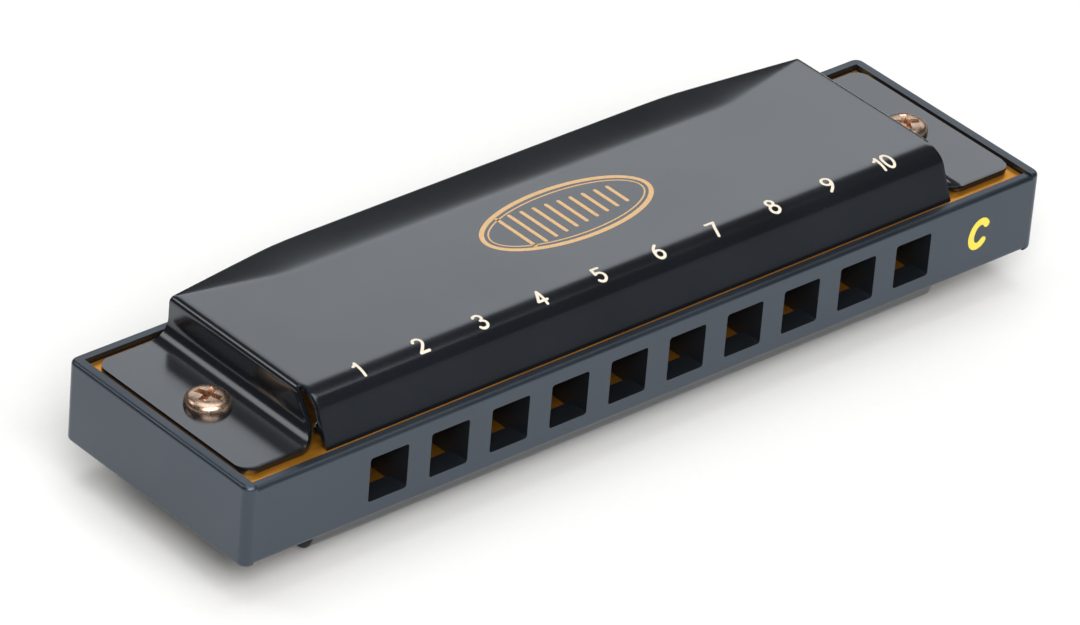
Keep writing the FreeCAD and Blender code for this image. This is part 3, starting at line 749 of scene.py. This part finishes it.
def screw_surface(head, rise, reach, shank, half, arm, depth, bars, pitch):
    """A screw standing at the origin with its head's underside at height zero: rings of points.
    half and arm are half the width and length of a bar of its recess.

    From the pole of the recess: its floor, a steep wall along its outline, a small lip, the
    head as a superellipse (radius by the sine to the power 2 over PAN_WIDTH, and height by the
    cosine to the power 2 over PAN_HEIGHT, of one angle), the flat underside, and a shank whose
    radius swings between core and crest as height over pitch minus the angle, down to its
    point."""
    angle = recess_angles(half, arm, bars)
    outline = ray_to_bars(angle, half, arm, bars)
    lip = outline + 0.05

    def dome(radius):
        return rise * (1 - (radius / head) ** PAN_WIDTH) ** (1 / PAN_HEIGHT)

    rings = [(0 * angle, 0 * angle + rise - depth - 0.12),
             (0.5 * outline, 0 * angle + rise - depth),
             (0.86 * outline, 0 * angle + rise - depth + 0.06),
             (outline, dome(outline) - 0.05), (lip, dome(lip))]
    first = np.arcsin((lip / head) ** (PAN_WIDTH / 2))
    for way in np.linspace(0, 1, 13)[1:]:
        turn = first + way * (math.pi / 2 - first)
        rings.append((head * np.sin(turn) ** (2 / PAN_WIDTH),
                      rise * np.clip(np.cos(turn), 0, 1) ** (2 / PAN_HEIGHT)))
    crest, core = shank, shank * 0.78
    rings.append((0 * angle + crest, 0 * angle))
    for z in np.linspace(0.15, reach, max(12, int(reach / pitch * 8))):
        swing = np.abs(2 * np.mod(z / pitch + angle / (2 * math.pi), 1) - 1)
        point = np.clip((reach - z) / (0.3 * reach), 0, 1) ** 0.7
        rings.append((point * (core + (crest - core) * swing), 0 * angle - z))
    radius = np.stack([r for r, _ in rings])
    height = np.stack([z for _, z in rings])
    return np.stack([radius * np.cos(angle), radius * np.sin(angle), height], axis=-1)


def rivet_surface(head_rise, total, head, shank, tail):
    """A rivet standing at the origin, head down: an elliptic dome, a shank hidden in the
    plate, and a hammered tail as a flatter dome; rings of points."""
    angle = np.linspace(0, 2 * math.pi, 32, endpoint=False)
    turn = np.linspace(0, math.pi / 2, 9)
    radius = np.concatenate([head * np.sin(turn), [shank, shank], tail * np.cos(turn)])
    height = np.concatenate([head_rise * (1 - np.cos(turn)), [head_rise, total - 0.1],
                             total - 0.1 + 0.1 * np.sin(turn)])
    return np.stack([radius[:, None] * np.cos(angle), radius[:, None] * np.sin(angle),
                     np.broadcast_to(height[:, None], (len(height), 32))], axis=-1)


def many(rings, places, flipped=False):
    """Copies of one ringed shape at several places, as points and faces of one mesh."""
    size = rings.shape[0] * rings.shape[1]
    faces = grid_faces(*rings.shape[:2], closed=True)
    points = rings.reshape(-1, 3)
    if flipped:
        points = lower_twin(points)
    shifted = [points + np.asarray(place) for place in places]
    return np.concatenate(shifted), np.concatenate([faces + size * i for i in
                                                    range(len(places))])


def fasten(name, points, faces, material, slot, node):
    """Makes one closed mesh of revolved fasteners and seats it on the casing."""
    piece = new_piece(name, points, faces, material)
    merge(piece)
    face_outwards(piece, 38)
    seat(piece, node)


class HARMONICA_OT_fasteners(bpy.types.Operator):
    """Turns the rivets that hold the reeds and the screws that hold the plates"""
    bl_idname = "harmonica.fasteners"
    bl_label = "Rivets and plate screws"

    def execute(self, context):
        finishes = context.scene.harmonica_finishes
        brass = plated_steel("turned_rivet_brass", tuple(finishes.rivet_brass), 0.28,
                             darker(finishes.rivet_brass, 0.8))
        zinc = plated_steel("bright_zinc_plating", tuple(finishes.zinc), 0.26,
                            darker(finishes.zinc, 0.7))
        for kind in ("blow", "draw"):
            low, high = node_box(f"{kind}_reed_rivets")
            places = []
            for hole in HOLES:
                foot_low, foot_high = node_box(f"{kind}_reed_foot_{hole}")
                middle = (foot_low + foot_high) / 2
                places.append((middle[0], middle[1], low[2]))
            rivet = rivet_surface(foot_low[2] - low[2], high[2] - low[2], **RIVET)
            fasten(f"{kind}_rivet_row", *many(rivet, places), brass, "rivet",
                   f"{kind}_reed_rivets")
            low, high = node_box(f"{kind}_plate_screws")
            front, back = low[1] + PLATE_SCREW["head"], high[1] - PLATE_SCREW["head"]
            rise = PLATE_SCREW["rise"]
            height = high[2] - rise if kind == "blow" else low[2] + rise
            spots = [(x, y, height) for x, y in (
                (-PLATE_SCREW_X, front), (PLATE_SCREW_X, front), (-PLATE_SCREW_X, back),
                (PLATE_SCREW_X, back), (0, back))]
            screws = many(screw_surface(**PLATE_SCREW), spots, kind == "draw")
            fasten(f"{kind}_plate_screw_set", *screws, zinc,
                   "plate_screw", f"{kind}_plate_screws")
        return {"FINISHED"}


class HARMONICA_OT_cover_screws(bpy.types.Operator):
    """Makes the four cross-recess screws that hold the covers"""
    bl_idname = "harmonica.cover_screws"
    bl_label = "Cover screws"

    def execute(self, context):
        tone = tuple(context.scene.harmonica_finishes.bronze)
        plating = plated_steel("bronze_screw_plating", tone, 0.3, darker(tone, 0.78))
        rings = screw_surface(**COVER_SCREW)
        for level in ("upper", "lower"):
            for side, turn in DRIVE_TURNS.items():
                node = f"{level}_cover_screw_{side}"
                low, high = node_box(node)
                middle = (low + high) / 2
                height = high[2] - COVER_HEAD_BOX if level == "upper" else (
                    low[2] + COVER_HEAD_BOX)
                turned = math.radians(turn)
                spin = np.array([[math.cos(turned), math.sin(turned), 0],
                                 [-math.sin(turned), math.cos(turned), 0], [0, 0, 1]])
                points, faces = many(rings @ spin, [(middle[0], middle[1], height)],
                                     level == "lower")
                fasten(f"{node}_head", points, faces, plating, "cover_screw", node)
        return {"FINISHED"}


# ---------------------------------------------------------------- printed marks


KEY_X = 42.85          # middle of the key letter
KEY_PEN, KEY_LEAN = 0.8, 0.16
NUMERAL_LEAN = 0.05
BADGE_X, BADGE_Y = 1.0, 1.9
RIM_PEN, LINE_PEN, BAR_PEN = 0.5, 0.16, 0.42
LINE_INSET = 0.95      # from the oval's outline to the middle of its inner line


def arc(x, y, radius_x, radius_y, first, last, count=20):
    """Points of an ellipse from one angle to another, in degrees: its middle plus its radii
    times the angle's cosine and sine."""
    angle = np.radians(np.linspace(first, last, count))
    return np.stack([x + radius_x * np.cos(angle), y + radius_y * np.sin(angle)], axis=-1)


def line(*points, count=5):
    """Straight runs between points, as a list of strokes."""
    way = np.linspace(0, 1, count)[:, None]
    return [np.array(a) * (1 - way) + np.array(b) * way for a, b in zip(points, points[1:])]


def curve(first, handle, last, count=14):
    """A stroke that bends once: the quadratic curve of two ends and a handle."""
    way = np.linspace(0, 1, count)[:, None]
    return (np.array(first) * (1 - way) ** 2 + 2 * np.array(handle) * way * (1 - way)
            + np.array(last) * way ** 2)


def digit_strokes(digit):
    """Pen strokes of a plain numeral in a box 0.6 wide and 1 high."""
    if digit == "0":
        return [arc(0.3, 0.5, 0.25, 0.46, 0, 360, 40)]
    if digit == "1":
        return [curve((0.08, 0.76), (0.24, 0.8), (0.3, 0.96)), *line((0.3, 0.96), (0.3, 0.04))]
    if digit == "2":
        return [arc(0.29, 0.7, 0.23, 0.26, 165, -25),
                curve((0.5, 0.59), (0.44, 0.42), (0.06, 0.04)), *line((0.06, 0.04), (0.54, 0.04))]
    if digit == "3":
        return [arc(0.27, 0.74, 0.21, 0.22, 150, -80), arc(0.28, 0.28, 0.25, 0.24, 85, -150)]
    if digit == "4":
        return line((0.42, 0.04), (0.42, 0.96), (0.05, 0.28), (0.57, 0.28))
    if digit == "5":
        return [*line((0.52, 0.96), (0.15, 0.96), (0.1, 0.56)),
                arc(0.27, 0.33, 0.26, 0.29, 128, -145)]
    if digit == "6":
        return [curve((0.46, 0.96), (0.08, 0.7), (0.06, 0.3)),
                arc(0.3, 0.3, 0.24, 0.26, 0, 360, 32)]
    if digit == "7":
        return [*line((0.05, 0.96), (0.54, 0.96)), curve((0.54, 0.96), (0.3, 0.6), (0.2, 0.04))]
    if digit == "8":
        return [arc(0.3, 0.75, 0.19, 0.21, 0, 360, 28), arc(0.3, 0.28, 0.25, 0.25, 0, 360, 32)]
    return [np.array([0.6, 1.0]) - stroke for stroke in digit_strokes("6")]


def ink_area(strokes, width):
    """Flat triangles under a round pen of that width: every stroke is a ribbon of quads with a
    dot at each end, and a constrained triangulation merges them where they overlap."""
    points, faces = [], []
    for stroke in strokes:
        step = np.gradient(stroke, axis=0)
        step /= np.linalg.norm(step, axis=1, keepdims=True)
        if np.allclose(stroke[0], stroke[-1]):
            step[0] = step[-1] = (step[0] + step[-1]) / np.linalg.norm(step[0] + step[-1])
        across = np.column_stack([-step[:, 1], step[:, 0]]) * width / 2
        start = sum(len(p) for p in points)
        ribbon = np.stack([stroke + across, stroke - across], axis=1)
        points.append(ribbon.reshape(-1, 2))
        faces += grid_faces(len(stroke), 2, start).tolist()
        for middle in (stroke[0], stroke[-1]):
            start = sum(len(p) for p in points)
            points.append(arc(*middle, width / 2, width / 2, 0, 345, 24))
            faces.append(list(range(start, start + 24)))
    flat = [Vector(p) for p in np.concatenate(points)]
    merged, _, triangles, _, _, covered = delaunay_2d_cdt(flat, [], faces, 1, 1e-5)
    flat = np.array([tuple(p) for p in merged])
    inked = np.array([list(t) for t, ribbons in zip(triangles, covered) if ribbons])
    first, second = (flat[inked[:, i]] - flat[inked[:, 0]] for i in (1, 2))
    turned = first[:, 0] * second[:, 1] - first[:, 1] * second[:, 0] < 0
    inked[turned] = inked[turned][:, ::-1]
    return flat, inked


def print_mark(name, flat, faces, on_surface, ink, height):
    """Lays flat ink on a surface: on_surface gives each point's place and outward normal."""
    place, normal = on_surface(flat)
    piece = new_piece(name, place + normal * height / MM, faces, ink)
    merge(piece, 2e-8)
    modify(piece, "SOLIDIFY", thickness=height * 1.6, offset=-1)
    settle(piece)
    piece.data.set_sharp_from_angle(angle=math.radians(40))
    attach(piece, CASING)


def over_shoulder(bend, start):
    """The upper cover near its shoulder: a mark's second coordinate is a length along the
    sheet, back over the flat top from y = start and forwards down the bend."""
    path, heading = shoulder_path(bend)
    length_of_step = np.hypot(*np.diff(path, axis=0).T)
    travelled = np.concatenate([[0], np.cumsum(length_of_step)]) - length_of_step.sum()

    def place(flat):
        run = flat[:, 1] + start - path[-1, 0]
        y = np.interp(run, travelled, path[:, 0]) + np.clip(run, 0, None)
        z = MIDDLE + np.interp(run, travelled, path[:, 1])
        turn = np.interp(run, travelled, heading)
        normal = np.stack([0 * run, -np.sin(turn), np.cos(turn)], axis=-1)
        return np.stack([flat[:, 0], y, z], axis=-1), normal
    return place


def on_front_face(flat):
    """The comb's front face: a mark's coordinates are x and height."""
    front = np.full(len(flat), COMB_LOW[1])
    place = np.stack([flat[:, 0], front, flat[:, 1]], axis=-1)
    return place, np.broadcast_to([0.0, -1.0, 0.0], place.shape)


def on_top_face(flat):
    """The upper cover's flat top: a mark's coordinates are x and y."""
    place = np.column_stack([flat, np.full(len(flat), MIDDLE + COVER_TOP)])
    return place, np.broadcast_to([0.0, 0.0, 1.0], place.shape)


def slanted(strokes, size, lean, middle):
    """Strokes scaled to a height, leaned to the right, and centred on a point."""
    scaled = [np.column_stack([s[:, 0] + lean * (s[:, 1] - 0.5), s[:, 1]]) * size
              for s in strokes]
    every = np.concatenate(scaled)
    centre = (every.min(axis=0) + every.max(axis=0)) / 2
    return [s - centre + np.asarray(middle) for s in scaled]


class HARMONICA_OT_marks(bpy.types.Operator):
    """Prints the hole numbers, the key letter and a plain oval with ten bars"""
    bl_idname = "harmonica.marks"
    bl_label = "Printed marks"

    def execute(self, context):
        sizes = context.scene.harmonica_marks
        finishes = context.scene.harmonica_finishes
        bend = context.scene.harmonica_covers.shoulder / MM
        on_shoulder = over_shoulder(bend, NUMERAL_LINE)
        cream = printed_ink("screen_printed_cream_ink", tuple(finishes.numeral_ink), 0.45)
        gold = printed_ink("screen_printed_gold_ink", tuple(finishes.badge_ink), 0.4)
        yellow = printed_ink("pad_printed_yellow_ink", tuple(finishes.key_ink), 0.4)

        tall = sizes.numeral / MM
        for hole in HOLES:
            column = sum(node_box(f"blow_reed_{hole}")[i][0] for i in (0, 1)) / 2
            strokes = []
            for place, digit in enumerate(str(hole)):
                strokes += [s + [0.62 * place - (0.12 if digit == "0" else 0), 0]
                            for s in digit_strokes(digit)]
            strokes = slanted(strokes, tall, NUMERAL_LEAN, (column, 0.05))
            flat, faces = ink_area(strokes, sizes.pen / MM)
            print_mark(f"numeral_{hole}", flat, faces, on_shoulder, cream, sizes.ink)

        letter = slanted([arc(0.36, 0.5, 0.3, 0.4, 42, 318, 34)], sizes.key / MM, KEY_LEAN,
                         (KEY_X, MIDDLE))
        flat, faces = ink_area(letter, KEY_PEN)
        print_mark("key_letter", flat, faces, on_front_face, yellow, sizes.ink)

        half_x, half_y = sizes.badge_length / MM / 2, sizes.badge_width / MM / 2
        rim = [arc(BADGE_X, BADGE_Y, half_x - RIM_PEN / 2, half_y - RIM_PEN / 2, 0, 360, 120)]
        thin = [arc(BADGE_X, BADGE_Y, half_x - LINE_INSET, half_y - LINE_INSET, 0, 360, 110)]
        count = sizes.badge_bars
        bars = []
        for bar, offset in enumerate(np.linspace(-0.62, 0.62, count) * half_x):
            x, tall_bar = BADGE_X + offset, half_y * (0.62 - 0.3 * bar / (count - 1))
            bars += line((x, BADGE_Y - tall_bar), (x, BADGE_Y + tall_bar))
        for name, strokes, pen in (("badge_rim", rim, RIM_PEN), ("badge_line", thin, LINE_PEN),
                                   ("badge_bars", bars, BAR_PEN)):
            flat, faces = ink_area(strokes, pen)
            print_mark(name, flat, faces, on_top_face, gold, sizes.ink)
        return {"FINISHED"}


# ---------------------------------------------------------------- stage


LAMPS = (   # name, bearing, elevation, distance, width, height, glow, tint
    ("rear_softbox", 46, 31.5, 0.95, 1.3, 0.23, 1.9, (0.93, 0.97, 1.0)),
    ("overhead_softbox", 60, 88, 0.8, 0.7, 0.7, 2.2, (1.0, 1.0, 1.0)),
    ("left_strip", -38, 42, 0.9, 0.3, 0.3, 3.0, (1.0, 0.98, 0.94)),
    ("front_softbox", 200, 46, 0.9, 0.8, 0.5, 5.3, (0.98, 0.99, 1.0)),
    ("camera_side_fill", 226, 34, 0.9, 0.5, 0.3, 4.4, (0.98, 0.99, 1.0)),
    ("dim_front_wall", 144, 8, 1.4, 1.4, 0.4, 0.2, (0.88, 0.94, 1.0)),
)
WALLS_TONE, WALLS_GLOW = (0.93, 0.96, 1.0, 1.0), 0.06
PAPER_REACH = 1500
LOOKED_AT = (-3.38, -0.16, MIDDLE)   # the point that the camera faces
SENSOR = 36            # width of the camera's sensor, in millimetres


def aim(place, target):
    """A matrix at one point whose -Z axis looks at another, with X level."""
    back = (Vector(place) - Vector(target)).normalized()
    right = Vector((0, 0, 1)).cross(back).normalized()
    up = back.cross(right)
    turn = Matrix((right, up, back)).transposed().to_4x4()
    return Matrix.Translation(place) @ turn


def lamp(name, bearing, elevation, distance, width, height, glow, tint):
    """A rectangular soft lamp that faces the harmonica. Its bearing and elevation are in
    degrees, its lengths in metres, and glow is the radiance of its face: its power is that
    times pi and its area."""
    light = bpy.data.lights.new(name, "AREA")
    light.shape = "RECTANGLE"
    light.size, light.size_y = width, height
    light.energy = glow * math.pi * width * height
    light.color = tint
    lamp_object = bpy.data.objects.new(name, light)
    bpy.context.scene.collection.objects.link(lamp_object)
    turn, rise = math.radians(bearing), math.radians(elevation)
    place = Vector((math.sin(turn) * math.cos(rise), math.cos(turn) * math.cos(rise),
                    math.sin(rise))) * distance
    lamp_object.matrix_world = aim(place, (0, 0, MIDDLE * MM))


class HARMONICA_OT_stage(bpy.types.Operator):
    """Lays the paper, hangs the soft lamps and sets up the camera"""
    bl_idname = "harmonica.stage"
    bl_label = "Stage"

    def execute(self, context):
        scene = context.scene
        tone = tuple(scene.harmonica_finishes.table)
        steps = np.linspace(-PAPER_REACH, PAPER_REACH, 9)
        x, y = np.meshgrid(steps, steps)
        sheet = np.stack([x, y, np.full_like(x, cad_low[2] / MM)], axis=-1)
        floor = new_piece("paper", sheet.reshape(-1, 3), grid_faces(9, 9),
                          studio_paper("matt_background_paper", tone))

        for settings in LAMPS:
            lamp(*settings)

        world = bpy.data.worlds.new("studio_walls")
        scene.world = world
        world.use_nodes = True
        background = world.node_tree.nodes["Background"]
        background.inputs["Color"].default_value = WALLS_TONE
        background.inputs["Strength"].default_value = WALLS_GLOW
        scene.view_settings.view_transform = "Standard"

        view = scene.harmonica_view
        data = bpy.data.cameras.new("camera")
        data.sensor_width, data.lens = SENSOR, view.lens
        data.clip_start, data.clip_end = 0.05, 20
        camera = bpy.data.objects.new("camera", data)
        scene.collection.objects.link(camera)
        target = Vector(LOOKED_AT) * MM
        level = math.cos(view.elevation)
        back = Vector((-math.sin(view.azimuth) * level, -math.cos(view.azimuth) * level,
                       math.sin(view.elevation)))
        place = target + back * view.distance
        camera.matrix_world = aim(place, target) @ Matrix.Rotation(view.roll, 4, "Z")
        scene.camera = camera
        return {"FINISHED"}


# ---------------------------------------------------------------- panel and registration


class HARMONICA_PT_build(bpy.types.Panel):
    """Lists the sizes, the finishes and the pieces"""
    bl_idname = "HARMONICA_PT_build"
    bl_label = "Mouth harmonica"
    bl_space_type = "VIEW_3D"
    bl_region_type = "UI"
    bl_category = "Harmonica"

    def draw(self, context):
        for group in SETTINGS:
            box = self.layout.box()
            settings = getattr(context.scene, group)
            for name in settings.bl_rna.properties.keys():
                if name not in ("rna_type", "name"):
                    box.prop(settings, name)
        for step in STEPS:
            self.layout.operator(step.bl_idname)


SETTINGS = {"harmonica_covers": CoverSizes, "harmonica_comb": CombSizes,
            "harmonica_marks": MarkSizes, "harmonica_finishes": Finishes,
            "harmonica_view": View}
STEPS = (HARMONICA_OT_comb, HARMONICA_OT_plates, HARMONICA_OT_reeds, HARMONICA_OT_fasteners,
         HARMONICA_OT_covers, HARMONICA_OT_cover_screws, HARMONICA_OT_marks,
         HARMONICA_OT_stage)
CLASSES = (*SETTINGS.values(), *STEPS, HARMONICA_PT_build)


def register():
    """Registers the classes and hangs their settings on the scene."""
    for item in CLASSES:
        bpy.utils.register_class(item)
    for name, group in SETTINGS.items():
        setattr(bpy.types.Scene, name, PointerProperty(type=group))


def unregister():
    """Takes the settings and the classes away again."""
    for name in SETTINGS:
        delattr(bpy.types.Scene, name)
    for item in reversed(CLASSES):
        bpy.utils.unregister_class(item)


def main():
    """Registers the steps and builds every piece in order."""
    register()
    bpy.ops.harmonica.comb()
    bpy.ops.harmonica.plates()
    bpy.ops.harmonica.reeds()
    bpy.ops.harmonica.fasteners()
    bpy.ops.harmonica.covers()
    bpy.ops.harmonica.cover_screws()
    bpy.ops.harmonica.marks()
    bpy.ops.harmonica.stage()


if __name__ == "__main__":
    main()
